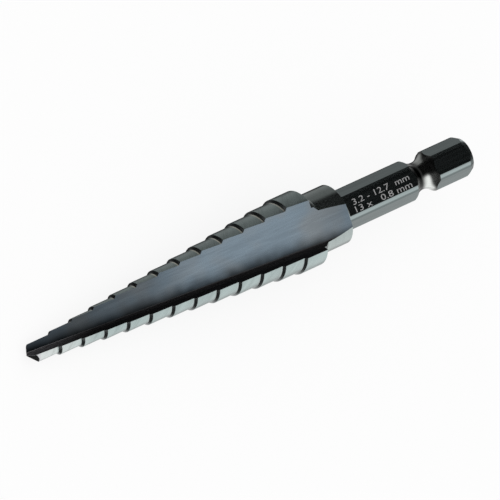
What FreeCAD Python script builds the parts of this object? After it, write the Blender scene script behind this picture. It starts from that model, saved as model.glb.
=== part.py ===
import FreeCAD, Part
import math
import os
import Sketcher

# A single-flute step drill, lying as it comes to rest on a table, flute up.
# It is one piece of high-speed steel, ground from one bar: a point, thirteen round
# lands of growing size with sloping shoulders, one V flute that climbs from the axis
# at the point to the rim of the collar, the collar, and a hex shank with a ball groove.
# Lengths are in mm and angles in degrees. The body's own X is the drill's axis, with
# the point at zero. Its Z leaves the axis through the flute.

LAND_COUNT = 13

SIZES = [
    ("land_first", 3.175, "diameter of the smallest land, 1/8 inch"),
    ("land_rise", 0.79375, "growth in diameter from land to land, 1/32 inch"),
    ("land_pitch", 3.96875, "rim to rim along the axis, 5/32 inch"),
    ("lead_length", 5.3, "tip of the point to the first shoulder's rim"),
    ("last_land_length", 3.95, "rim to back face of the largest land"),
    ("shoulder_round", 0.2, "hollow radius at the foot of a shoulder"),
    ("point_angle", 118, "included angle of the point"),
    ("neck_diameter", 10.9, "short ring behind the largest land"),
    ("neck_length", 0.4, "length of that ring"),
    ("neck_slope", 0.65, "length of the slope from the ring down to the collar"),
    ("collar_diameter", 10.05, "plain collar between lands and shank"),
    ("collar_length", 5.9, "back of the largest land to the back of the collar"),
    ("hex_flats", 6.35, "hex shank across flats, 1/4 inch"),
    ("hex_corners", 6.82, "hex shank across its rounded corners"),
    ("hex_roll", 3, "turn of the hex against the flute"),
    ("shank_length", 26.0, "back of the collar to the end of the shank"),
    ("shank_chamfer", 1.0, "length of the chamfer at the end of the shank"),
    ("shank_end_diameter", 5.7, "flat round end of the shank"),
    ("groove_centre", 9.4, "end of the shank to the middle of the ball groove"),
    ("groove_floor", 1.7, "width of the groove's floor"),
    ("groove_flank", 1.4, "length of each sloping side of the groove"),
    ("groove_diameter", 4.7, "diameter of the groove's floor"),
    ("flute_before", 1.0, "start of the cut, ahead of the point"),
    ("flute_after", 7.2, "end of the cut, behind the collar's back"),
    ("flute_reach", 18.0, "length of each wall of the cut, past the rim"),
    ("flute_lean", 14.5, "lean of the long back wall"),
    ("front_root_side", 0.28, "root of the cut at its start, sideways of the axis"),
    ("front_root_depth", -0.64, "root of the cut at its start, above the axis"),
    ("front_face_angle", 106.6, "cutting face at the start of the cut"),
    ("front_root_round", 0.3, "hollow radius of the root at the start"),
    ("rear_root_side", -4.79, "root of the cut at its end, sideways of the axis"),
    ("rear_root_depth", 4.22, "root of the cut at its end, above the axis"),
    ("rear_face_angle", 133.3, "cutting face at the end of the cut"),
    ("rear_root_round", 1.2, "hollow radius of the root at the end"),
    ("lip_relief", 38.7, "turn of the narrow flat behind the cutting lip"),
    ("lip_lean", 14.9, "lean of that flat towards the flute"),
    ("heel_relief", 42.0, "turn of the second flat, behind the first"),
    ("heel_lean", -18.5, "lean of that flat, away from the flute"),
    ("rest_roll", -5.0, "roll of the drill as it lies, its heavy side down"),
]

value = {name: number for name, number, meaning in SIZES}

# Places and sizes made of several named ones, each with its share.
COLLAR_BACK = {
    "lead_length": 1,
    "land_pitch": LAND_COUNT - 2,
    "last_land_length": 1,
    "collar_length": 1,
}
# The hollow behind the collar takes half of the step down to the shank.
COLLAR_HOLLOW = {"collar_diameter": 0.25, "hex_corners": -0.25}


def total(parts):
    """A size as a number: each named size times its share, added up."""
    return sum(share * value[name] for name, share in parts.items())


def formula(parts):
    """The same size as an expression on the cells of the sheet."""
    return " + ".join(f"{share} * Sizes.{name}" for name, share in parts.items())


def add(*groups):
    """One size made of several."""
    result = {}
    for group in groups:
        for name, share in group.items():
            result[name] = result.get(name, 0) + share
    return result


def make_sheet(doc):
    sheet = doc.addObject("Spreadsheet::Sheet", "Sizes")
    for row, (name, number, meaning) in enumerate(SIZES, start=1):
        sheet.set(f"A{row}", name)
        sheet.set(f"B{row}", str(number))
        sheet.set(f"C{row}", meaning)
        sheet.setAlias(f"B{row}", name)
    doc.recompute()
    return sheet


def origin_plane(body, role):
    return next(item for item in body.Origin.OriginFeatures if item.Role == role)


def new_sketch(body, name, role):
    sketch = body.newObject("Sketcher::SketchObject", name)
    sketch.AttachmentSupport = [(origin_plane(body, role), "")]
    sketch.MapMode = "FlatFace"
    return sketch


def bind(sketch, index, expression):
    sketch.setExpression(f"Constraints[{index}]", expression)


def pin(sketch, line, end, along, out):
    """Hold one end of a line at a distance along the axis and out from it."""
    for kind, parts in (("DistanceX", along), ("DistanceY", out)):
        if parts:
            index = sketch.addConstraint(
                Sketcher.Constraint(kind, -1, 1, line, end, total(parts))
            )
            bind(sketch, index, formula(parts))


def profile_points():
    """Half outline of the drill from the back of the point to the end of the shank.

    Each entry is a distance along the axis and a radius, as shares of named sizes.
    """
    def radius(land):
        return {"land_first": 0.5, "land_rise": 0.5 * land}

    points = []
    for step in range(LAND_COUNT - 1):
        rim = {"lead_length": 1, "land_pitch": step}
        points.append((add(rim, {"land_rise": -0.5}), radius(step)))
        points.append((rim, radius(step + 1)))
    back = add(COLLAR_BACK, {"collar_length": -1})
    neck = {"neck_diameter": 0.5}
    collar = {"collar_diameter": 0.5}
    shank = {"hex_corners": 0.5}
    floor = {"groove_diameter": 0.5}
    end = add(COLLAR_BACK, {"shank_length": 1})
    middle = add(end, {"groove_centre": -1})
    points += [
        (back, radius(LAND_COUNT - 1)),
        (back, neck),
        (add(back, {"neck_length": 1}), neck),
        (add(back, {"neck_length": 1, "neck_slope": 1}), collar),
        (COLLAR_BACK, collar),
        (COLLAR_BACK, shank),
        (add(middle, {"groove_floor": -0.5, "groove_flank": -1}), shank),
        (add(middle, {"groove_floor": -0.5}), floor),
        (add(middle, {"groove_floor": 0.5}), floor),
        (add(middle, {"groove_floor": 0.5, "groove_flank": 1}), shank),
        (add(end, {"shank_chamfer": -1}), shank),
        (end, {"shank_end_diameter": 0.5}),
    ]
    return points


def turned_blank(doc, body):
    """The bar as turned: one half outline spun about the axis."""
    sketch = new_sketch(body, "Profile", "XZ_Plane")
    points = profile_points()
    half_angle = math.radians(value["point_angle"] / 2)
    first_radius = value["land_first"] / 2
    corners = [(0, 0), (first_radius / math.tan(half_angle), first_radius)]
    corners += [(total(along), total(out)) for along, out in points]
    corners.append((corners[-1][0], 0))
    ends = [FreeCAD.Vector(along, out, 0) for along, out in corners]
    count = len(ends)
    for number in range(count):
        sketch.addGeometry(Part.LineSegment(ends[number], ends[(number + 1) % count]))
    for number in range(count):
        sketch.addConstraint(
            Sketcher.Constraint("Coincident", number, 2, (number + 1) % count, 1)
        )
    sketch.addConstraint(Sketcher.Constraint("Coincident", 0, 1, -1, 1))
    slope = sketch.addConstraint(Sketcher.Constraint("Angle", -1, 1, 0, 1, half_angle))
    bind(sketch, slope, "Sizes.point_angle / 2 * 1 deg")
    pin(sketch, 1, 1, None, {"land_first": 0.5})
    for number, (along, out) in enumerate(points, start=2):
        pin(sketch, number, 1, along, out)
    pin(sketch, count - 1, 1, points[-1][0], None)
    sketch.addConstraint(Sketcher.Constraint("PointOnObject", count - 1, 1, -1))
    blank = body.newObject("PartDesign::Revolution", "Blank")
    blank.Profile = sketch
    blank.ReferenceAxis = (sketch, ["H_Axis"])
    blank.Angle = 360
    doc.recompute()
    return blank


def ring_edges(shape, wanted):
    """Names of the full circles about the axis at the given places and radii."""
    names = []
    for number, edge in enumerate(shape.Edges, start=1):
        curve = edge.Curve
        if not isinstance(curve, Part.Circle):
            continue
        for along, out in wanted:
            near = abs(curve.Center.x - along) < 0.001 and abs(curve.Radius - out) < 0.001
            if near:
                names.append(f"Edge{number}")
    return names


def hollow_corners(doc, body, blank):
    """The grinding wheel's rounded corner at the foot of each shoulder and the collar."""
    points = [(total(along), total(out)) for along, out in profile_points()]
    feet = points[0:2 * (LAND_COUNT - 1):2]
    rounds = body.newObject("PartDesign::Fillet", "ShoulderFeet")
    rounds.Base = (blank, ring_edges(blank.Shape, feet))
    rounds.setExpression("Radius", "Sizes.shoulder_round")
    doc.recompute()
    heel = body.newObject("PartDesign::Fillet", "CollarHeel")
    corner = (total(COLLAR_BACK), value["hex_corners"] / 2)
    heel.Base = (rounds, ring_edges(rounds.Shape, [corner]))
    heel.setExpression("Radius", formula(COLLAR_HOLLOW))
    doc.recompute()


def hex_shank(doc, body):
    """Six flats milled on the round shank, from the collar's hollow to the end."""
    sketch = new_sketch(body, "Hexagon", "YZ_Plane")
    start = add(COLLAR_BACK, COLLAR_HOLLOW)
    sketch.setExpression("AttachmentOffset.Base.z", formula(start))
    sketch.setExpression("AttachmentOffset.Rotation.Angle", "Sizes.hex_roll * 1 deg")
    centre = FreeCAD.Vector()
    forward = FreeCAD.Vector(0, 0, 1)
    waste = sketch.addGeometry(Part.Circle(centre, forward, value["hex_corners"]))
    sketch.addConstraint(Sketcher.Constraint("Coincident", waste, 3, -1, 1))
    size = sketch.addConstraint(
        Sketcher.Constraint("Radius", waste, value["hex_corners"])
    )
    bind(sketch, size, "Sizes.hex_corners")
    reach = value["hex_flats"] / 2 / math.cos(math.radians(30))
    corners = []
    for side in range(6):
        turn = math.radians(60 * side)
        corners.append(FreeCAD.Vector(reach * math.cos(turn), reach * math.sin(turn), 0))
    sides = []
    for side in range(6):
        line = Part.LineSegment(corners[side], corners[(side + 1) % 6])
        sides.append(sketch.addGeometry(line))
    guide = sketch.addGeometry(Part.Circle(centre, forward, reach), True)
    sketch.addConstraint(Sketcher.Constraint("Coincident", guide, 3, -1, 1))
    for side in range(6):
        here = sides[side]
        following = sides[(side + 1) % 6]
        sketch.addConstraint(Sketcher.Constraint("Coincident", here, 2, following, 1))
        sketch.addConstraint(Sketcher.Constraint("PointOnObject", here, 1, guide))
        if side:
            sketch.addConstraint(Sketcher.Constraint("Equal", sides[0], here))
    sketch.addConstraint(Sketcher.Constraint("Horizontal", sides[1]))
    across = sketch.addConstraint(
        Sketcher.Constraint("Distance", -1, 1, sides[1], value["hex_flats"] / 2)
    )
    bind(sketch, across, "Sizes.hex_flats / 2")
    flats = body.newObject("PartDesign::Pocket", "Flats")
    flats.Profile = sketch
    flats.Reversed = True
    flats.setExpression("Length", "Sizes.shank_length")
    doc.recompute()


def flute_section(body, end, station):
    """The wheel's V at one end of its pass, square across the axis.

    A long back wall and the cutting face meet in a rounded root.
    """
    side = value[f"{end}_root_side"]
    depth = value[f"{end}_root_depth"]
    hollow = value[f"{end}_root_round"]
    lean = value["flute_lean"]
    face = value[f"{end}_face_angle"]
    reach = value["flute_reach"]
    half = math.radians(face - lean) / 2
    touch = hollow / math.tan(half)

    def from_root(angle, length):
        turn = math.radians(angle)
        across = side + length * math.cos(turn)
        return FreeCAD.Vector(across, depth + length * math.sin(turn), 0)

    sketch = new_sketch(body, f"{end.capitalize()}Section", "YZ_Plane")
    sketch.setExpression("AttachmentOffset.Base.z", formula(station))
    circle = Part.Circle(
        from_root((lean + face) / 2, hollow / math.sin(half)),
        FreeCAD.Vector(0, 0, 1),
        hollow,
    )
    back_wall = sketch.addGeometry(
        Part.LineSegment(from_root(lean, touch), from_root(lean, reach))
    )
    root = sketch.addGeometry(
        Part.ArcOfCircle(circle, math.radians(face + 90), math.radians(lean + 270))
    )
    face_wall = sketch.addGeometry(
        Part.LineSegment(from_root(face, touch), from_root(face, reach))
    )
    mouth = sketch.addGeometry(
        Part.LineSegment(from_root(lean, reach), from_root(face, reach))
    )
    corner = sketch.addGeometry(Part.Point(from_root(0, 0)), True)

    def hold(*parts):
        return sketch.addConstraint(Sketcher.Constraint(*parts))

    hold("Tangent", back_wall, 1, root, 2)
    hold("Tangent", face_wall, 1, root, 1)
    hold("Coincident", back_wall, 2, mouth, 1)
    hold("Coincident", face_wall, 2, mouth, 2)
    hold("PointOnObject", corner, 1, back_wall)
    hold("PointOnObject", corner, 1, face_wall)
    bind(sketch, hold("DistanceX", -1, 1, corner, 1, side), f"Sizes.{end}_root_side")
    bind(sketch, hold("DistanceY", -1, 1, corner, 1, depth), f"Sizes.{end}_root_depth")
    bind(sketch, hold("Radius", root, hollow), f"Sizes.{end}_root_round")
    lean_angle = hold("Angle", -1, 1, back_wall, 1, math.radians(lean))
    bind(sketch, lean_angle, "Sizes.flute_lean * 1 deg")
    face_angle = hold("Angle", -1, 1, face_wall, 1, math.radians(face))
    bind(sketch, face_angle, f"Sizes.{end}_face_angle * 1 deg")
    for wall in (back_wall, face_wall):
        bind(sketch, hold("Distance", corner, 1, wall, 2, reach), "Sizes.flute_reach")
    return sketch


def flute(doc, body):
    """One V cut from ahead of the point to past the collar, climbing off the axis."""
    front = flute_section(body, "front", {"flute_before": -1})
    rear = flute_section(body, "rear", add(COLLAR_BACK, {"flute_after": 1}))
    doc.recompute()
    cut = body.newObject("PartDesign::SubtractiveLoft", "Flute")
    cut.Profile = front
    cut.Sections = [rear]
    cut.Ruled = True
    doc.recompute()


def point_flats(doc, body):
    """The point ground away behind its cutting lip by two flats that meet at the tip."""
    for name in ("lip", "heel"):
        flat = body.newObject("PartDesign::SubtractiveBox", f"{name.capitalize()}Flat")
        for side in ("Length", "Width", "Height"):
            flat.setExpression(side, "2 * Sizes.land_first")
        lean = FreeCAD.Rotation(FreeCAD.Vector(0, 1, 0), value[f"{name}_lean"] - 90)
        relief = FreeCAD.Rotation(FreeCAD.Vector(0, 0, 1), value[f"{name}_relief"])
        turn = relief * lean
        corner = FreeCAD.Vector(-value["land_first"], -value["land_first"], 0)
        flat.Placement = FreeCAD.Placement(turn.multVec(corner), turn)
        doc.recompute()


def resting_place():
    """The drill on a table, flute up, on the edge of its point and its largest rim.

    The lands touch the table along their common slope, so the shank points upwards.
    """
    first = value["land_first"] / 2
    point_length = first / math.tan(math.radians(value["point_angle"] / 2))
    largest = first + (LAND_COUNT - 1) * value["land_rise"] / 2
    last_rim = value["lead_length"] + (LAND_COUNT - 2) * value["land_pitch"]
    rise = math.atan2(largest - first, last_rim - point_length)
    tilt = FreeCAD.Rotation(FreeCAD.Vector(0, 1, 0), -math.degrees(rise))
    roll = FreeCAD.Rotation(FreeCAD.Vector(1, 0, 0), value["rest_roll"])
    end = total(add(COLLAR_BACK, {"shank_length": 1}))
    overall = end * math.cos(rise) + value["shank_end_diameter"] / 2 * math.sin(rise)
    height = largest * math.cos(rise) - last_rim * math.sin(rise)
    tip = FreeCAD.Vector(-overall / 2, 0, height)
    return FreeCAD.Placement(tip, tilt * roll)


def step_drill(doc):
    body = doc.addObject("PartDesign::Body", "step_drill")
    body.Label = "step_drill"
    blank = turned_blank(doc, body)
    hollow_corners(doc, body, blank)
    hex_shank(doc, body)
    before = body.Shape.Volume
    flute(doc, body)
    if body.Shape.Volume > 0.95 * before:
        raise RuntimeError("the flute cuts nothing")
    point_flats(doc, body)
    body.Placement = resting_place()
    doc.recompute()
    return body


def check(doc, pieces):
    for item in doc.Objects:
        if "Invalid" in item.State or "Error" in item.State:
            raise RuntimeError(f"{item.Label} did not compute")
    for piece in pieces:
        if piece.Shape.isNull() or not piece.Shape.isValid():
            raise RuntimeError(f"{piece.Label} has no valid shape")


doc = FreeCAD.newDocument("StepDrill")
make_sheet(doc)
pieces = [step_drill(doc)]
check(doc, pieces)
os.makedirs("parts", exist_ok=True)
for piece in pieces:
    piece.Shape.exportStep(f"parts/{piece.Label}.step")
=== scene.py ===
import math

import bmesh
import bpy
import numpy as np
from mathutils import Matrix, Vector


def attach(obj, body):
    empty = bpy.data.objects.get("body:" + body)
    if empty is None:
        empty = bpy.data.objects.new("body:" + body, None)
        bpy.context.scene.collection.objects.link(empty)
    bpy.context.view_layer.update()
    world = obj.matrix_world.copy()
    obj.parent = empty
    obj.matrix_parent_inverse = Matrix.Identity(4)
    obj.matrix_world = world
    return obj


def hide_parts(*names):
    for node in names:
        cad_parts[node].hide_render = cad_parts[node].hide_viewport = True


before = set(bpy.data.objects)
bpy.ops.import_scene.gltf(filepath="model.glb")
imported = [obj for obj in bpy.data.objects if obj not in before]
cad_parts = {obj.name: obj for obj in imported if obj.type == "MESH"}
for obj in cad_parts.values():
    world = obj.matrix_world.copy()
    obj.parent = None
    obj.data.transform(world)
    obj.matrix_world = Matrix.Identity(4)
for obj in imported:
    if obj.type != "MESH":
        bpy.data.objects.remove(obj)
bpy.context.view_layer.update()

# How the drill lies

# The drill lies flute up on the edge of its point and its largest rim. Camera, light and
# patterns are placed in its own axes: x from the tip along the axis to the shank, y to
# the side that is the upper one in the picture, here called the far side, and z out
# through the flute.

TIP = Vector((-42.33665, 0.0, 1.48557))  # mm
SLOPE = math.radians(5.66599)
ROLL = math.radians(-5.0)
MM = 0.001

lying = (
    Matrix.Translation(TIP * MM)
    @ Matrix.Rotation(-SLOPE, 4, "Y")
    @ Matrix.Rotation(ROLL, 4, "X")
)

# Camera

# A long lens looks down on the flute from the side of the tip. Its directions and its
# spot, in mm, are in the drill's axes.

CAMERA_RIGHT = (0.80600006, -0.41823790, 0.41885672)
CAMERA_UP = (0.37111731, 0.90833752, 0.19285976)
CAMERA_BACK = (-0.46112454, 0.0, 0.88733543)
CAMERA_SPOT = (-295.006, 0.423, 649.524)
LENS = 336.236  # mm
SENSOR = 36.0  # mm
NEAREST, FARTHEST = 0.01, 20.0  # m

camera_data = bpy.data.cameras.new("camera")
camera_data.lens = LENS
camera_data.sensor_width = SENSOR
camera_data.clip_start = NEAREST
camera_data.clip_end = FARTHEST
camera = bpy.data.objects.new("camera", camera_data)
bpy.context.scene.collection.objects.link(camera)
camera_spot = [place * MM for place in CAMERA_SPOT]
camera_axes = [*zip(CAMERA_RIGHT, CAMERA_UP, CAMERA_BACK, camera_spot), (0, 0, 0, 1)]
camera.matrix_world = lying @ Matrix(camera_axes)
bpy.context.scene.camera = camera
bpy.context.scene.view_settings.view_transform = "Standard"

# Floor and light

# A sheet of white paper under plain white studio light. The steel mirrors a tent instead:
# white cloth on the near side, dimmer on the far side, white cards low beyond both ends and
# below, and dark openings overhead and toward the tip.

PAPER = 3.0  # m from the middle to each side
PAPER_WHITE = 0.9
PAPER_ROUGHNESS = 0.9
PAPER_GLOW = 0.85  # share of plain white in what the camera sees of it

# Brightness of the tent's cloths, where 1 is white, and of what shows through its openings.
NEAR_CLOTH = 1.05
FAR_CLOTH_LOW, FAR_CLOTH = 0.3, 0.2
FLOOR_CLOTH = 0.9
END_CLOTH = 0.8
OPENING = 0.004

floor_mesh = bpy.data.meshes.new("floor")
floor_mesh.from_pydata(
    [(-PAPER, -PAPER, 0), (PAPER, -PAPER, 0), (PAPER, PAPER, 0), (-PAPER, PAPER, 0)],
    [],
    [(0, 1, 2, 3)],
)
floor = bpy.data.objects.new("floor", floor_mesh)
bpy.context.scene.collection.objects.link(floor)
floor.visible_glossy = False


def add_node(tree, kind, inputs=(), **settings):
    """A new node of a tree; each input takes a number, a colour or another node's output."""
    made = tree.nodes.new("ShaderNode" + kind)
    for name, value in settings.items():
        setattr(made, name, value)
    for name, value in dict(inputs).items():
        if isinstance(value, bpy.types.NodeSocket):
            tree.links.new(value, made.inputs[name])
        else:
            made.inputs[name].default_value = value
    return made


def add(tree, first, second):
    """The sum of two numbers or outputs."""
    return add_node(tree, "Math", {0: first, 1: second}, operation="ADD").outputs[0]


def subtract(tree, first, second):
    """The first number or output less the second."""
    return add_node(tree, "Math", {0: first, 1: second}, operation="SUBTRACT").outputs[0]


def multiply(tree, first, *others):
    """The product of numbers or outputs."""
    for other in others:
        first = add_node(tree, "Math", {0: first, 1: other}, operation="MULTIPLY").outputs[0]
    return first


def larger(tree, first, second):
    """The larger of two numbers or outputs."""
    return add_node(tree, "Math", {0: first, 1: second}, operation="MAXIMUM").outputs[0]


def ramp(tree, value, limits, levels=(0.0, 1.0)):
    """A smooth change from one level to another while a value runs between two limits."""
    inputs = {"Value": value, "From Min": limits[0], "From Max": limits[1]}
    inputs |= {"To Min": levels[0], "To Max": levels[1]}
    return add_node(tree, "MapRange", inputs, interpolation_type="SMOOTHSTEP").outputs["Result"]


paper = bpy.data.materials.new("paper")
paper.use_nodes = True
tree = paper.node_tree
sheet = tree.nodes["Principled BSDF"]
sheet.inputs["Base Color"].default_value = (PAPER_WHITE, PAPER_WHITE, PAPER_WHITE, 1)
sheet.inputs["Roughness"].default_value = PAPER_ROUGHNESS
glow = add_node(tree, "Emission")
ray = add_node(tree, "LightPath")
share = multiply(tree, ray.outputs["Is Camera Ray"], PAPER_GLOW)
blend = add_node(tree, "MixShader", {0: share, 1: sheet.outputs[0], 2: glow.outputs[0]})
tree.links.new(blend.outputs[0], tree.nodes["Material Output"].inputs["Surface"])
floor_mesh.materials.append(paper)

# The tent is laid out by direction in the drill's axes: toward the shank, toward the far
# side, and up, each from -1 to 1. A ramp's limits are places on these.
studio = bpy.data.worlds.new("studio")
bpy.context.scene.world = studio
studio.use_nodes = True
tree = studio.node_tree
settings = {
    "Vector": add_node(tree, "TexCoord").outputs["Generated"],
    "Rotation": lying.to_euler(),
}
direction = add_node(tree, "Mapping", settings, vector_type="TEXTURE").outputs[0]
to_shank, to_back, to_top = add_node(tree, "SeparateXYZ", {0: direction}).outputs

near_side = ramp(tree, to_back, (-0.78, -0.08), (NEAR_CLOTH, OPENING))
far_side = multiply(
    tree,
    ramp(tree, to_back, (0.35, 0.6)),
    ramp(tree, to_top, (-0.6, -0.1), (FAR_CLOTH_LOW, FAR_CLOTH)),
    ramp(tree, to_top, (0.05, 0.35), (1.0, 0.02)),
)
open_tip = ramp(tree, to_shank, (-0.3, 0.1), (0.03, 1.0))
tent = multiply(tree, add(tree, near_side, far_side), open_tip)

# The card past the shank is bright in a ring round the axis and dark straight on.
before_tip = multiply(
    tree,
    ramp(tree, to_shank, (-0.85, -0.6), (END_CLOTH, 0.0)),
    ramp(tree, to_top, (0.0, 0.35), (1.0, 0.03)),
)
straight_on = ramp(tree, to_top, (-0.9, -0.5), (END_CLOTH, 0.06))
past_shank = multiply(
    tree,
    ramp(tree, to_shank, (0.6, 0.76)),
    ramp(tree, to_shank, (0.78, 0.88), (END_CLOTH, straight_on)),
)
below = multiply(
    tree,
    ramp(tree, to_top, (-0.92, -0.7), (FLOOR_CLOTH, 0.0)),
    ramp(tree, to_back, (-0.05, 0.25), (1.0, 0.0)),
)
tent = larger(tree, larger(tree, tent, add(tree, before_tip, past_shank)), below)

mirrored = add_node(tree, "Background", {"Color": tent, "Strength": 1.0})
plain = tree.nodes["Background"]
plain.inputs["Color"].default_value = (1, 1, 1, 1)
plain.inputs["Strength"].default_value = 1.0
glossy = add_node(tree, "LightPath").outputs["Is Glossy Ray"]
blend = add_node(tree, "MixShader", {0: glossy, 1: plain.outputs[0], 2: mirrored.outputs[0]})
tree.links.new(blend.outputs[0], tree.nodes["World Output"].inputs["Surface"])

# The drill

# A step drill ground from one bar of high-speed steel. The lands and their sloping
# shoulders are turned and ground round, a wheel cuts the one flute through them, and
# behind the collar the bar is left as the hexagon that the chuck holds. Sizes are in mm.

LANDS = 13
FIRST_RADIUS = 1.5875
RISE = 0.396875
PITCH = 3.96875
LEAD = 5.3
LAST_LAND = 3.95
POINT_ANGLE = math.radians(118)
FOOT_ROUND = 0.2
NECK_RADIUS = 5.45
NECK = 0.4
NECK_SLOPE = 0.65
COLLAR_RADIUS = 5.025
COLLAR = 5.9
HEX_FLAT = 3.175
HEX_CORNER = 3.41
HEX_TURN = 93.0  # degrees round the axis, to the middle of the marked flat
SHANK = 26.0
CHAMFER = 1.0
END_RADIUS = 2.85
GROOVE_TO_END = 9.4
GROOVE_FLOOR = 1.7
GROOVE_FLANK = 1.4
GROOVE_RADIUS = 2.35
GROOVE_CURVE = 2.2  # power of the groove's hollow: more makes it squarer
BROKEN_EDGE = 0.02

LAND_BACK = LEAD + (LANDS - 2) * PITCH + LAST_LAND
COLLAR_BACK = LAND_BACK + COLLAR
END = COLLAR_BACK + SHANK
GROOVE = END - GROOVE_TO_END
HOLLOW = (COLLAR_RADIUS - HEX_CORNER) / 2

# The wheel's V at the front and rear of its pass: the place along the axis, its root as y
# and z, the lean of the cutting face in degrees and the round of the root. The lean of the
# back wall and the length of both walls stay the same.
WHEEL_FRONT = {"at": -1.0, "root": (0.28, -0.64), "face": 106.6, "round": 0.3}
WHEEL_REAR = {"at": COLLAR_BACK + 7.2, "root": (-4.79, 4.22), "face": 133.3, "round": 1.2}
WHEEL_BACK_WALL = 14.5
WHEEL_REACH = 18.0

# The two flats of the point, each turned to the side and leaned, in degrees; the turns
# round the axis at which they start, meet and end; and the place by which both have run out.
POINT_FLATS = ((38.7, 14.9), (42.0, -18.5))
POINT_CREASES = (110.6, 172.84, 259.9)
POINT_END = 1.62

# Columns around the land, then over the back wall, the root and the cutting face; and on
# the point, around the land from the cutting face to each crease in turn.
AROUND, OVER_WALL, OVER_ROOT, OVER_FACE = 120, 20, 8, 6
TO_CREASES = (4, 30, 42)

# Spacing of the rows: in mm on the point, in degrees round the foot of a shoulder, as a
# count over the groove, and as shares of the radius on the end face. The line in front of a
# shoulder's foot, which carries its painted highlight, is FOOT_LINE wide.
POINT_STEP = 0.03
FOOT_STEP = 9
GROOVE_ROWS = 20
END_RINGS = (1.0, 0.96, 0.5)
FOOT_LINE = 0.14

FINISHES = ("point", "land", "shoulder", "collar", "hexagon", "groove", "wall", "face", "foot")


def turned_profile():
    """Outline of the turned part: rows of place along the axis, radius and finish.

    A cone, then for each land a straight run, a round of 45 degrees at the foot of the
    shoulder, the 45 degree shoulder and a broken rim; then neck, collar and hollow.
    """
    base = FIRST_RADIUS / math.tan(POINT_ANGLE / 2)
    blunt = 0.004  # share of the cone at which its rows start
    rows = [(base * s, FIRST_RADIUS * s, "point") for s in (blunt, *np.arange(0.1, 0.95, 0.1))]
    rows += [(x, FIRST_RADIUS, "point") for x in np.arange(base, POINT_END, POINT_STEP)]
    tangent = FOOT_ROUND * math.tan(math.pi / 8)
    for land in range(LANDS - 1):
        radius = FIRST_RADIUS + RISE * land
        rim = LEAD + PITCH * land
        foot = rim - RISE - tangent
        start = max(rows[-1][0], POINT_END)
        shares = (0.0, 0.33, 0.66) if land == 0 else (0.33, 0.66)
        rows += [(start + s * (foot - start), radius, "land") for s in shares]
        rows.append((foot - FOOT_LINE, radius, "foot"))
        for turn in np.radians(np.arange(0, 46, FOOT_STEP)):
            x = foot + FOOT_ROUND * math.sin(turn)
            finish = "foot" if turn < np.radians(FOOT_STEP + 1) else "shoulder"
            rows.append((x, radius + FOOT_ROUND * (1 - math.cos(turn)), finish))
        slope_start = 1.5 * BROKEN_EDGE
        rows.append((rows[-1][0] + slope_start, rows[-1][1] + slope_start, "shoulder"))
        rows.append((rim - BROKEN_EDGE, radius + RISE - BROKEN_EDGE, "land"))
        rows.append((rim + BROKEN_EDGE, radius + RISE, "land"))
    radius = FIRST_RADIUS + RISE * (LANDS - 1)
    start = rows[-1][0]
    rows += [(start + s * (LAND_BACK - start), radius, "land") for s in (0.33, 0.66)]
    rows += [
        (LAND_BACK - 2 * BROKEN_EDGE, radius, "shoulder"),
        (LAND_BACK - BROKEN_EDGE, radius - BROKEN_EDGE, "shoulder"),
        (LAND_BACK, NECK_RADIUS, "shoulder"),
        (LAND_BACK + NECK, NECK_RADIUS, "shoulder"),
    ]
    start = LAND_BACK + NECK + NECK_SLOPE
    shares = (0.0, 0.25, 0.5, 0.7, 0.85)
    rows += [(start + s * (COLLAR_BACK - start), COLLAR_RADIUS, "collar") for s in shares]
    rows += [
        (COLLAR_BACK - 2 * BROKEN_EDGE, COLLAR_RADIUS, "collar"),
        (COLLAR_BACK - BROKEN_EDGE, COLLAR_RADIUS - BROKEN_EDGE, "collar"),
    ]
    for turn in np.radians(np.linspace(0, 90, 9)):
        x = COLLAR_BACK + HOLLOW * (1 - math.cos(turn))
        rows.append((x, HEX_CORNER + HOLLOW * (1 - math.sin(turn)), "collar"))
    return rows


def wheel_cut(along, sweep):
    """Places (y, z) on the wheel's V, as a share of its pass and of its section.

    The sweep runs in along the straight back wall from 0 to 1, round the root to 2 and out
    along the cutting face to 3; between front and rear the section changes in a straight line.
    """
    sections = []
    wall = math.radians(WHEEL_BACK_WALL)
    out, bend, up = (np.clip(part, 0, 1) for part in (1 - sweep, sweep - 1, sweep - 2))
    for end in (WHEEL_FRONT, WHEEL_REAR):
        face = math.radians(end["face"])
        touch = end["round"] / math.tan((face - wall) / 2)
        away = end["round"] / math.sin((face - wall) / 2)
        middle = (wall + face) / 2
        angle = (wall + 1.5 * math.pi) * (1 - bend) + (face + 0.5 * math.pi) * bend
        run = WHEEL_REACH - touch
        y = end["root"][0] + away * math.cos(middle) + end["round"] * np.cos(angle)
        z = end["root"][1] + away * math.sin(middle) + end["round"] * np.sin(angle)
        y = y + run * (out * math.cos(wall) + up * math.cos(face))
        z = z + run * (out * math.sin(wall) + up * math.sin(face))
        sections.append((y, z))
    (y0, z0), (y1, z1) = sections
    return y0 + (y1 - y0) * along, z0 + (z1 - z0) * along


def point_reach(x, angle):
    """Distance from the axis to the nearer of the point's two flats, which pass the tip.

    It is the flat's distance along its normal over the share of the normal that points
    the way of the angle, and far away where the flat never crosses that way.
    """
    far, least = 1000.0, 1e-6
    reach = np.full(np.broadcast(x, angle).shape, far)
    for turn, lean in np.radians(POINT_FLATS):
        toward = math.sin(lean) * np.sin(angle) - math.cos(lean) * math.sin(turn) * np.cos(angle)
        flat = x * math.cos(lean) * math.cos(turn) / np.maximum(toward, least)
        reach = np.where(toward > least, np.minimum(reach, flat), reach)
    return reach


def between(stops, counts):
    """Columns from stop to stop, evenly spaced in each stretch, with the last stop."""
    stretches = [
        start + (stop - start) * np.linspace(0, 1, count + 1)[:-1]
        for start, stop, count in zip(stops, stops[1:], counts)
    ]
    return np.concatenate([*stretches, stops[-1]], axis=1)


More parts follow.
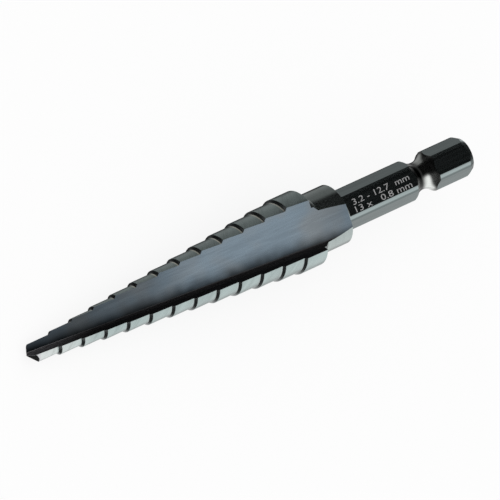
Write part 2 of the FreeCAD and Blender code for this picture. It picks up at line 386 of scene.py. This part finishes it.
def fluted_rows(x, radius):
    """Sections of the fluted part: the round from the cutting face's corner to the back
    wall's corner, then back wall, root and cutting face, as y and z for each row.

    A corner is where the wheel's V crosses the round. Rows that the wheel misses close up
    to one point on its side of the round.
    """
    along = (x - WHEEL_FRONT["at"]) / (WHEEL_REAR["at"] - WHEEL_FRONT["at"])
    # The crossings are looked for finely on both walls and coarsely round the root.
    far_out, fine, coarse, skip = 0.4, 3000, 400, 0.003
    searched = (
        np.linspace(far_out, 1, fine),
        np.linspace(1 + skip, 2 - skip, coarse),
        np.linspace(2, 3, fine),
    )
    sweep = np.concatenate(searched)
    y, z = wheel_cut(along, sweep)
    gap = np.hypot(y, z) - np.minimum(radius, point_reach(x, np.arctan2(z, y)))
    cuts = (gap < 0).any(axis=1)[:, None]
    row = np.arange(len(x))

    def crossing(outer, inner):
        before, after = gap[row, outer], gap[row, inner]
        weight = before / np.where(before == after, 1, before - after)
        found = sweep[outer] + (sweep[inner] - sweep[outer]) * np.clip(weight, 0, 1)
        return np.where(cuts[:, 0], found, sweep[gap.argmin(axis=1)])[:, None]

    first = (gap < 0).argmax(axis=1)
    last = len(sweep) - 1 - (gap < 0)[:, ::-1].argmax(axis=1)
    start = crossing(np.maximum(first - 1, 0), first)
    stop = crossing(np.minimum(last + 1, len(sweep) - 1), last)
    wall_end, root_end = np.clip(1.0, start, stop), np.clip(2.0, start, stop)
    cut = between((start, wall_end, root_end, stop), (OVER_WALL, OVER_ROOT, OVER_FACE))
    y, z = wheel_cut(along, cut)
    angle = np.arctan2(z, y)
    closed = np.minimum(radius, point_reach(x, angle)) / np.hypot(y, z)
    y, z = np.where(cuts, y, y * closed), np.where(cuts, z, z * closed)

    face_side = angle[:, -1:]
    wall_side = angle[:, :1] + np.where(angle[:, :1] > face_side + 1e-9, 0, 2 * math.pi)
    wall_side = np.where(cuts, wall_side, face_side + 2 * math.pi)
    even = between((face_side, wall_side), (AROUND,))
    creases = [np.full_like(x, crease) for crease in np.radians(POINT_CREASES)]
    counts = (*TO_CREASES, AROUND - sum(TO_CREASES))
    creased = between((face_side, *creases, wall_side), counts)
    around = np.where(x <= POINT_END, creased, even)
    reach = np.minimum(radius, point_reach(x, around))
    return (
        np.concatenate([reach * np.cos(around), y[:, 1:-1]], axis=1),
        np.concatenate([reach * np.sin(around), z[:, 1:-1]], axis=1),
    )


def shank_rows(seam):
    """Rows of the hexagon shank as x, y and z for each column, and their finishes.

    A column's radius is the flat's distance over the cosine of its angle to the flat's
    middle, and at most the rounded corner's. Along it come the square start, the groove
    and the chamfer. The groove is a hollow whose radius grows with a power of the share
    of the way from its middle to its lip, and lip and chamfer lie where their straight
    lines, drawn for the corners, meet that column's radius.
    """
    angle = np.degrees(seam) + 360 * np.linspace(0, 1, AROUND + 1)
    half = math.degrees(math.acos(HEX_FLAT / HEX_CORNER))
    for side in range(6):
        for edge in (-half, half):
            off = (HEX_TURN + 60 * side + edge - angle + 180) % 360 - 180
            nearest = np.abs(off).argmin()
            angle[nearest] += off[nearest]
    closing = np.full(OVER_WALL + OVER_ROOT + OVER_FACE - 1, angle[0])
    angle = np.radians(np.concatenate([angle, closing]))
    to_flat = (angle - math.radians(HEX_TURN) + math.pi / 6) % (math.pi / 3) - math.pi / 6
    radius = np.minimum(HEX_CORNER, HEX_FLAT / np.cos(to_flat))
    drop = (HEX_CORNER - radius) / (HEX_CORNER - GROOVE_RADIUS)
    start = COLLAR_BACK + HOLLOW + BROKEN_EDGE
    lip = GROOVE_FLOOR / 2 + GROOVE_FLANK * (1 - drop)
    chamfer = END - CHAMFER * (1 - (HEX_CORNER - radius) / (HEX_CORNER - END_RADIUS))
    rows = [
        (start + s * (GROOVE - lip - start), radius, "hexagon") for s in (0.0, 0.25, 0.5, 0.75)
    ]
    for s in np.linspace(-1, 1, GROOVE_ROWS + 1)[:-1]:
        hollow = GROOVE_RADIUS + (radius - GROOVE_RADIUS) * abs(s) ** GROOVE_CURVE
        rows.append((GROOVE + lip * s, hollow, "groove"))
    rows += [
        (GROOVE + lip, radius, "hexagon"),
        ((GROOVE + lip + chamfer) / 2, radius, "hexagon"),
        (chamfer, radius, "hexagon"),
    ]
    rows += [(END, END_RADIUS * share, "groove") for share in END_RINGS]
    x = np.array([np.broadcast_to(row[0], angle.shape) for row in rows])
    r = np.array([np.broadcast_to(row[1], angle.shape) for row in rows])
    return x, r * np.cos(angle), r * np.sin(angle), [row[2] for row in rows]


profile = turned_profile()
x_turned = np.array([row[0] for row in profile])[:, None]
y_turned, z_turned = fluted_rows(x_turned, np.array([row[1] for row in profile])[:, None])
seam = math.atan2(z_turned[-1, 0], y_turned[-1, 0])
x_shank, y_shank, z_shank, shank_finish = shank_rows(seam)

x = np.concatenate([np.broadcast_to(x_turned, y_turned.shape), x_shank])
y = np.concatenate([y_turned, y_shank])
z = np.concatenate([z_turned, z_shank])
row_count, column_count = x.shape
places = np.stack([x, y, z], axis=-1).reshape(-1, 3)
places = np.concatenate([places, [[0, 0, 0], [END, 0, 0]]]) * MM
lying_turn = np.array(lying.to_3x3())
places = places @ lying_turn.T + np.array(lying.translation)

# A net of four-cornered faces lies over the rows, and a fan closes it at tip and end.
i, j = np.meshgrid(np.arange(row_count - 1), np.arange(column_count), indexing="ij")
across = (j + 1) % column_count
here, ahead = i * column_count, (i + 1) * column_count
quads = np.stack([here + j, here + across, ahead + across, ahead + j], axis=-1).reshape(-1, 4)
ring = np.arange(column_count)
after = (ring + 1) % column_count
last = (row_count - 1) * column_count
tip_corner, end_corner = row_count * column_count, row_count * column_count + 1
tip_fan = np.stack([np.full_like(ring, tip_corner), after, ring], axis=-1)
end_fan = np.stack([np.full_like(ring, end_corner), last + ring, last + after], axis=-1)

row_finish = [FINISHES.index(name) for name in [row[2] for row in profile] + shank_finish]
finish = np.array(row_finish[:-1])[:, None] + 0 * j
flute = (x[1:, :1] < COLLAR_BACK - 0.5 * BROKEN_EDGE) & (j >= AROUND)
finish = np.where(flute & (j < AROUND + OVER_WALL), FINISHES.index("wall"), finish)
finish = np.where(flute & (j >= AROUND + OVER_WALL), FINISHES.index("face"), finish).ravel()
tip_finish = np.full(column_count, FINISHES.index("point"))
end_finish = np.full(column_count, FINISHES.index("groove"))
finish = np.concatenate([finish, tip_finish, end_finish])

drill_mesh = bpy.data.meshes.new("step_drill_ground")
drill_mesh.from_pydata(
    places.tolist(), [], quads.tolist() + tip_fan.tolist() + end_fan.tolist()
)
drill_mesh.polygons.foreach_set("material_index", finish.astype(np.int32))
drill_mesh.polygons.foreach_set("use_smooth", np.ones(len(finish), dtype=bool))

# Patterns are laid out in the drill's own axes, in mm, and by the turn round the axis.
axes = bpy.data.node_groups.new("drill_axes", "ShaderNodeTree")
axes.interface.new_socket("Place", in_out="OUTPUT", socket_type="NodeSocketVector")
for name in ("Along", "Turn", "Radius"):
    axes.interface.new_socket(name, in_out="OUTPUT", socket_type="NodeSocketFloat")
settings = {
    "Vector": add_node(axes, "TexCoord").outputs["Object"],
    "Location": TIP * MM,
    "Rotation": lying.to_euler(),
    "Scale": (MM, MM, MM),
}
place = add_node(axes, "Mapping", settings, vector_type="TEXTURE").outputs[0]
along, aside, up = add_node(axes, "SeparateXYZ", {0: place}).outputs
around = add_node(axes, "Math", {0: up, 1: aside}, operation="ARCTAN2").outputs[0]
squares = add(axes, multiply(axes, aside, aside), multiply(axes, up, up))
radius = add_node(axes, "Math", {0: squares}, operation="SQRT").outputs[0]
outside = axes.nodes.new("NodeGroupOutput")
for name, value in (("Place", place), ("Along", along), ("Turn", around), ("Radius", radius)):
    axes.links.new(value, outside.inputs[name])

# Grinding lines: one noise drawn out into fine lines and a second one that fades them.
# A noise's values lie for the most part between the two of NOISE_SPREAD.
NOISE_SPREAD = (0.3, 0.7)
lines = bpy.data.node_groups.new("grinding_lines", "ShaderNodeTree")
lines.interface.new_socket("Vector", in_out="INPUT", socket_type="NodeSocketVector")
for name, way in (("Fine", "INPUT"), ("Patches", "INPUT"), ("Lines", "OUTPUT"), ("Fade", "OUTPUT")):
    lines.interface.new_socket(name, in_out=way, socket_type="NodeSocketFloat")
inside = lines.nodes.new("NodeGroupInput").outputs
outside = lines.nodes.new("NodeGroupOutput")
settings = {"Vector": inside["Vector"], "Scale": inside["Fine"], "Detail": 3.0, "Roughness": 0.6}
drawn = add_node(lines, "TexNoise", settings).outputs[0]
settings = {"Vector": inside["Vector"], "Scale": inside["Patches"], "Detail": 2.0}
patch = add_node(lines, "TexNoise", settings).outputs[0]
lines.links.new(ramp(lines, drawn, NOISE_SPREAD), outside.inputs["Lines"])
lines.links.new(ramp(lines, patch, NOISE_SPREAD), outside.inputs["Fade"])

# How far the lines are drawn out along the wheel's run and packed across it, per mm.
DRAWN_LENGTHWISE = (0.06, 2.2, 2.2)
DRAWN_ACROSS, DRAWN_ALONG = 2.4, 0.1
HELIX = 0.55
LINE_ROUGHNESS = 0.08
LINE_MEAN = 0.3  # of the faded lines, made up for so that a colour keeps its tone


def shaded(tree, colour, factor):
    """A colour darkened or tinted by another one."""
    parts = {"Factor": 1.0, 6: colour, 7: factor}
    return add_node(tree, "Mix", parts, data_type="RGBA", blend_type="MULTIPLY").outputs[2]


def ground_steel(
    name, colour, roughness, run, fine=1.0, patches=0.12, contrast=0.2, depth=0.003, shade=None
):
    """A ground steel finish.

    Lines follow the run of the grinding wheel: "lengthwise", in "rings" or as a "helix".
    They darken the colour by up to the contrast, roughen it and stand up by the depth, in
    mm. The shade is a function of the material's tree and axes that gives a tint, mostly
    painted light or shade.
    """
    material = bpy.data.materials.new(name)
    material.use_nodes = True
    tree = material.node_tree
    shader = tree.nodes["Principled BSDF"]
    own = tree.nodes.new("ShaderNodeGroup")
    own.node_tree = axes
    at = own.outputs
    if run == "lengthwise":
        settings = {"Vector": at["Place"], "Scale": DRAWN_LENGTHWISE}
        vector = add_node(tree, "Mapping", settings).outputs[0]
    else:
        slant = {"rings": 0.0, "helix": HELIX}[run]
        round_axis = multiply(tree, at["Turn"], at["Radius"])
        packed = add(
            tree,
            multiply(tree, at["Along"], DRAWN_ACROSS),
            multiply(tree, round_axis, slant * DRAWN_ACROSS),
        )
        drawn_out = subtract(
            tree,
            multiply(tree, round_axis, DRAWN_ALONG),
            multiply(tree, at["Along"], slant * DRAWN_ALONG),
        )
        vector = add_node(tree, "CombineXYZ", {"X": packed, "Y": drawn_out}).outputs[0]
    grain = tree.nodes.new("ShaderNodeGroup")
    grain.node_tree = lines
    tree.links.new(vector, grain.inputs["Vector"])
    grain.inputs["Fine"].default_value = fine
    grain.inputs["Patches"].default_value = patches
    faded = multiply(tree, grain.outputs["Lines"], grain.outputs["Fade"])
    brightest = 1.0 + LINE_MEAN * contrast
    base = shaded(tree, (*colour, 1), subtract(tree, brightest, multiply(tree, faded, contrast)))
    if shade:
        base = shaded(tree, base, shade(tree, at))
    tree.links.new(base, shader.inputs["Base Color"])
    rough = add(tree, roughness, multiply(tree, faded, LINE_ROUGHNESS))
    tree.links.new(rough, shader.inputs["Roughness"])
    shader.inputs["Metallic"].default_value = 1.0
    bump = add_node(tree, "Bump", {"Height": faded, "Distance": depth * MM, "Strength": 1.0})
    tree.links.new(bump.outputs[0], shader.inputs["Normal"])
    return material


def tint(tree, red, green, blue):
    """A colour of three levels."""
    return add_node(tree, "CombineColor", {0: red, 1: green, 2: blue}).outputs[0]


def facing(tree, at, degrees):
    """How nearly the steel faces a turn round the axis: 1 there, 0 square to it."""
    off = subtract(tree, at["Turn"], math.radians(degrees))
    return add_node(tree, "Math", {0: off}, operation="COSINE").outputs[0]


# Turns round the axis in degrees: the side away from the cutting edge, the top of the
# groove, and the side of a corner with its painted highlight, as counted from the middle of
# its flat. The limits in the shades are mm along the axis or away from it, or shares.
FAR_SIDE = 42
GROOVE_TOP = 78
CORNER_HIGHLIGHT_SIDE = 27


def point_painted_shade(tree, at):
    """Painted shade on the flats and cone; the round beside them is as bright as the first land."""
    rim = (FIRST_RADIUS - 0.12, FIRST_RADIUS - 0.01)
    level = ramp(tree, at["Radius"], rim, (0.3, 1.1))
    return tint(tree, level, level, level)


def land_shade(tree, at):
    """Brighter and more neutral at the tip, and plain from the fourth land on."""
    brightened = (2.0, 14.0)
    red = ramp(tree, at["Along"], brightened, (1.65, 1.0))
    rest = ramp(tree, at["Along"], brightened, (1.47, 1.0))
    return tint(tree, red, rest, rest)


def foot_painted_highlight(tree, at):
    """A painted highlight at the foot of a shoulder, on the side away from the cutting edge."""
    brightened = multiply(
        tree,
        ramp(tree, facing(tree, at, FAR_SIDE), (0.6, 1.0)),
        ramp(tree, at["Along"], (6.0, 26.0)),
    )
    highlight_mix = {"Factor": brightened, 6: (1.0, 1.0, 1.0, 1), 7: (2.0, 1.75, 1.55, 1)}
    return add_node(tree, "Mix", highlight_mix, data_type="RGBA").outputs[2]


def wall_painted_shade_and_tone(tree, at):
    """Painted shade: blue-black at tip and root, brightest in the middle, duller at the collar.

    The distance out from the root, whose line is drawn straight between the wheel's front
    and rear, is counted across the wall and divided by the width of the painted shade. That
    width grows with the flute and closes up at the collar, and a noise makes its edge wavy. A
    second noise turns the colour a little to brown or to blue, as a tone of the steel.
    """
    tip = multiply(
        tree,
        ramp(tree, at["Along"], (2.0, 30.0), (0.22, 0.58)),
        ramp(tree, at["Along"], (22.0, 34.0), (1.0, 1.72)),
    )
    collar = ramp(tree, at["Along"], (48.0, 60.0), (1.0, 0.72))
    x, y, z = add_node(tree, "SeparateXYZ", {0: at["Place"]}).outputs
    lean = math.radians(WHEEL_BACK_WALL)
    out = add(tree, multiply(tree, y, math.cos(lean)), multiply(tree, z, math.sin(lean)))
    front, rear = (
        end["root"][0] * math.cos(lean) + end["root"][1] * math.sin(lean)
        for end in (WHEEL_FRONT, WHEEL_REAR)
    )
    slope = (rear - front) / (WHEEL_REAR["at"] - WHEEL_FRONT["at"])
    root = add(tree, multiply(tree, x, slope), front - slope * WHEEL_FRONT["at"])
    out = subtract(tree, out, root)
    width = multiply(
        tree,
        ramp(tree, x, (0.0, 50.0), (1.7, 2.8)),
        ramp(tree, x, (42.0, 60.0), (1.0, 0.6)),
    )
    share = add_node(tree, "Math", {0: out, 1: width}, operation="DIVIDE").outputs[0]
    wavy = add_node(tree, "TexNoise", {"Vector": at["Place"], "Scale": 0.35, "Detail": 1.0})
    share = add(tree, share, multiply(tree, wavy.outputs[0], 0.5))
    level = multiply(tree, tip, collar, ramp(tree, share, (0.2, 1.55), (0.06, 1.0)))
    settings = {"Vector": at["Place"], "Scale": 0.16, "Detail": 2.0}
    cloud = add_node(tree, "TexNoise", settings).outputs[0]
    edges = (0.35, 0.65)
    red = multiply(tree, level, ramp(tree, cloud, edges, (0.94, 1.06)))
    blue = multiply(tree, level, ramp(tree, cloud, edges, (1.04, 0.95)))
    return tint(tree, red, level, blue)


def face_painted_light(tree, at):
    """A painted highlight behind the tip, fading into painted shade from the fourth rim on."""
    level = ramp(tree, at["Along"], (1.0, 13.0), (2.7, 0.5))
    return tint(tree, level, level, level)


def hexagon_painted_light(tree, at):
    """Painted highlights on one side of each corner, over flats darkened as painted shade.

    The cosine of six times the turn has its peak at the same place of each corner. The
    flat on the far side of the marked one gets a painted highlight, twice as bright.
    """
    highlight_turn = math.radians(HEX_TURN + CORNER_HIGHLIGHT_SIDE)
    corner_phase = multiply(tree, subtract(tree, at["Turn"], highlight_turn), 6.0)
    corner_highlight = add_node(tree, "Math", {0: corner_phase}, operation="COSINE").outputs[0]
    far_flat_highlight = ramp(tree, facing(tree, at, HEX_TURN - 60), (0.92, 0.945), (1.0, 2.0))
    level = multiply(tree, ramp(tree, corner_highlight, (0.75, 0.97), (0.85, 1.75)), far_flat_highlight)
    return tint(tree, level, level, level)


def groove_painted_light(tree, at):
    """Painted highlight on the rear flank; painted shade on the front flank, lips and top."""
    level = multiply(
        tree,
        ramp(tree, at["Along"], (GROOVE - 0.8, GROOVE + 0.5), (0.04, 1.2)),
        ramp(tree, at["Radius"], (2.85, 3.2), (1.0, 0.35)),
        ramp(tree, facing(tree, at, GROOVE_TOP), (0.84, 0.97), (1.0, 0.2)),
    )
    return tint(tree, level, level, level)


steels = {
    "point": ground_steel(
        "point_steel", (0.55, 0.56, 0.57), 0.25, "rings", shade=point_painted_shade
    ),
    "land": ground_steel(
        "land_steel", (0.378, 0.452, 0.445), 0.25, "helix",
        fine=2.5, patches=0.25, contrast=0.3, depth=0.004, shade=land_shade,
    ),
    # The shoulders' dark colour is painted shade.
    "shoulder": ground_steel("shoulder_steel", (0.2, 0.22, 0.22), 0.25, "rings"),
    "collar": ground_steel(
        "collar_steel", (0.38, 0.43, 0.42), 0.17, "rings", fine=2.0, depth=0.001
    ),
    # The hexagon's dark colour is painted shade.
    "hexagon": ground_steel(
        "hexagon_steel", (0.185, 0.217, 0.217), 0.15, "lengthwise",
        contrast=0.15, depth=0.001, shade=hexagon_painted_light,
    ),
    "groove": ground_steel(
        "groove_steel", (0.62, 0.64, 0.62), 0.17, "rings",
        contrast=0.1, depth=0.0004, shade=groove_painted_light,
    ),
    "wall": ground_steel(
        "wall_steel", (0.36, 0.435, 0.5), 0.26, "lengthwise",
        contrast=0.18, depth=0.002, shade=wall_painted_shade_and_tone,
    ),
    # The cutting face's dark colour is painted shade.
    "face": ground_steel("face_steel", (0.2, 0.2, 0.21), 0.3, "lengthwise", shade=face_painted_light),
    "foot": ground_steel("foot_steel", (0.41, 0.47, 0.465), 0.3, "rings", shade=foot_painted_highlight),
}
for name in FINISHES:
    drill_mesh.materials.append(steels[name])

# Columns that meet in one place are welded, and an edge is sharp where its faces turn.
WELD = 2e-7  # m
SHARP = math.radians(18)

shaping = bmesh.new()
shaping.from_mesh(drill_mesh)
bmesh.ops.remove_doubles(shaping, verts=shaping.verts, dist=WELD)
bmesh.ops.dissolve_degenerate(shaping, edges=shaping.edges, dist=WELD / 20)
shaping.to_mesh(drill_mesh)
shaping.free()
drill_mesh.set_sharp_from_angle(angle=SHARP)

drill = bpy.data.objects.new("drill_steel", drill_mesh)
bpy.context.scene.collection.objects.link(drill)
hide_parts("step_drill")
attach(drill, "root")

# Size marks

# Two rows of plain sizes in millimetres on the flat between collar and groove: the hole
# range, and the number of steps and their rise. They are burnt light into the dark flat.

# Each row's words, and how far its middle lies to the far side of the flat's middle.
MARKS = (("3.2 - 12.7  mm", 0.66), ("13 x   0.8 mm", -0.6))
MARK_HEIGHT = 1.42
MARK_START = 61.0
MARK_LENGTH = 11.2
MARK_STAND, MARK_ROOT = 0.004, 0.004  # over and under the face of the flat
MARK_SPECKLE = 9.0  # per mm
MARK_TONES = (0.16, 0.4)
MARK_ROUGHNESS = (0.75, 0.5)
MARK_PITS = 0.02

flat_turn = math.radians(HEX_TURN)
flat_out = np.array([0, math.cos(flat_turn), math.sin(flat_turn)])
flat_up = np.array([0, math.sin(flat_turn), -math.cos(flat_turn)])
mark_points, mark_faces = [], []
for words, middle in MARKS:
    # The letters are made thick and then pressed to their stand and root.
    curve = bpy.data.curves.new("words", "FONT")
    curve.body = words
    curve.size = MARK_HEIGHT
    curve.resolution_u = 3
    curve.extrude = 0.5
    text = bpy.data.objects.new("words", curve)
    letters = bpy.data.meshes.new_from_object(text)
    spots = np.empty(len(letters.vertices) * 3)
    letters.vertices.foreach_get("co", spots)
    spots = spots.reshape(-1, 3)
    low_spot, high_spot = spots.min(axis=0), spots.max(axis=0)
    stretch = MARK_LENGTH / (high_spot[0] - low_spot[0])
    wide = MARK_START + (spots[:, :1] - low_spot[0]) * stretch
    tall = spots[:, 1:2] - (low_spot[1] + high_spot[1]) / 2 + middle
    stand = HEX_FLAT + np.where(spots[:, 2:] > 0, MARK_STAND, -MARK_ROOT)
    local = wide * np.array([1, 0, 0]) + tall * flat_up + stand * flat_out
    offset = sum(len(part) for part in mark_points)
    mark_points.append(local * MM @ lying_turn.T + np.array(lying.translation))
    mark_faces += [[offset + corner for corner in face.vertices] for face in letters.polygons]
    bpy.data.objects.remove(text)
    bpy.data.meshes.remove(letters)

mark_mesh = bpy.data.meshes.new("size_marks")
mark_mesh.from_pydata(np.concatenate(mark_points).tolist(), [], mark_faces)
marks = bpy.data.objects.new("size_marks", mark_mesh)
bpy.context.scene.collection.objects.link(marks)

burnt = bpy.data.materials.new("burnt_mark")
burnt.use_nodes = True
tree = burnt.node_tree
shader = tree.nodes["Principled BSDF"]
own = tree.nodes.new("ShaderNodeGroup")
own.node_tree = axes
settings = {"Vector": own.outputs["Place"], "Scale": MARK_SPECKLE, "Detail": 3.0}
speckle = add_node(tree, "TexNoise", settings).outputs[0]
level = ramp(tree, speckle, NOISE_SPREAD, MARK_TONES)
rough = ramp(tree, speckle, NOISE_SPREAD, MARK_ROUGHNESS)
pits = add_node(tree, "Bump", {"Height": speckle, "Distance": MARK_PITS * MM, "Strength": 1.0})
tree.links.new(tint(tree, level, level, level), shader.inputs["Base Color"])
tree.links.new(rough, shader.inputs["Roughness"])
tree.links.new(pits.outputs[0], shader.inputs["Normal"])
mark_mesh.materials.append(burnt)
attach(marks, "root")
